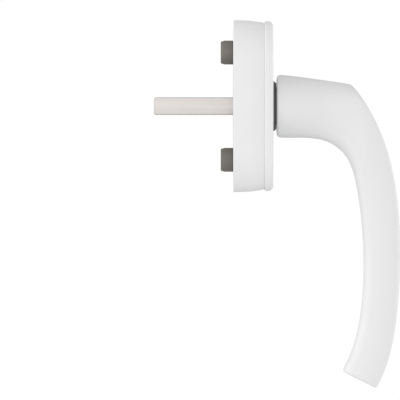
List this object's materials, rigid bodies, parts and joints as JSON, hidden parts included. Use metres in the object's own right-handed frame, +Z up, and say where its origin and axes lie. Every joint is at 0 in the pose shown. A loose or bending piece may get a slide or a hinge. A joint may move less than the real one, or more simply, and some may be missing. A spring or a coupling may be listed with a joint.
{
  "type": "tilt and turn window handle",
  "caption": "White tilt and turn window handle: a hooked flat-faced grip on a stadium-shaped rose, with a square spindle and support lugs behind.",
  "frame": {"origin": "spindle axis on the rose's back plane, midway between the two fixing screw holes", "axes": "+Y into the window sash, along the spindle; -Y into the room; +Z up; the grip hangs along -Z at rest, which is the closed position"},
  "size_m": [0.0314, 0.0985, 0.1474],
  "materials": {
    "white_coat": "traffic white powder coat on die-cast aluminium, satin",
    "white_plastic": "white moulded plastic, satin",
    "zinc": "raw zinc die casting",
    "dark_zinc": "dark passivated zinc die casting, matt",
    "dark_plastic": "dark grey acetal, matt",
    "steel": "turned steel, zinc plated",
    "spindle_steel": "bright drawn square bar, zinc plated",
    "spring_steel": "blued spring steel"
  },
  "bodies": {
    "rose": {"rose_housing": "white_plastic", "mounting_plate": "zinc", "lug_top": "dark_zinc", "lug_bottom": "dark_zinc", "bearing_bush": "dark_plastic", "rear_bush": "dark_plastic", "detent_spring_left": "spring_steel", "detent_spring_right": "spring_steel", "housing_screw_top": "steel", "housing_screw_bottom": "steel"},
    "ring": {"cover_ring": "dark_plastic"},
    "cover": {"cover_cap": "white_plastic"},
    "handle": {"lever": "white_coat", "drive_sleeve": "steel", "spindle": "spindle_steel", "spindle_pin": "spring_steel", "detent_cam": "steel", "thrust_washer": "dark_plastic", "disc_spring": "spring_steel", "retaining_ring": "spring_steel"}
  },
  "joints": [
    {"name": "lever_turn", "type": "hinge", "parent": "rose", "child": "handle", "pos_m": [0, 0, 0], "axis": [0, 1, 0], "continuous": true, "deforming": ["detent_spring_left", "detent_spring_right"]},
    {"name": "cover_lift", "type": "slide", "parent": "rose", "child": "ring", "axis": [0, -1, 0], "range_m": [0, 0.0012]},
    {"name": "cover_turn", "type": "hinge", "parent": "ring", "child": "cover", "pos_m": [0, 0, 0], "axis": [0, 1, 0], "range_deg": [-90, 90]}
  ]
}
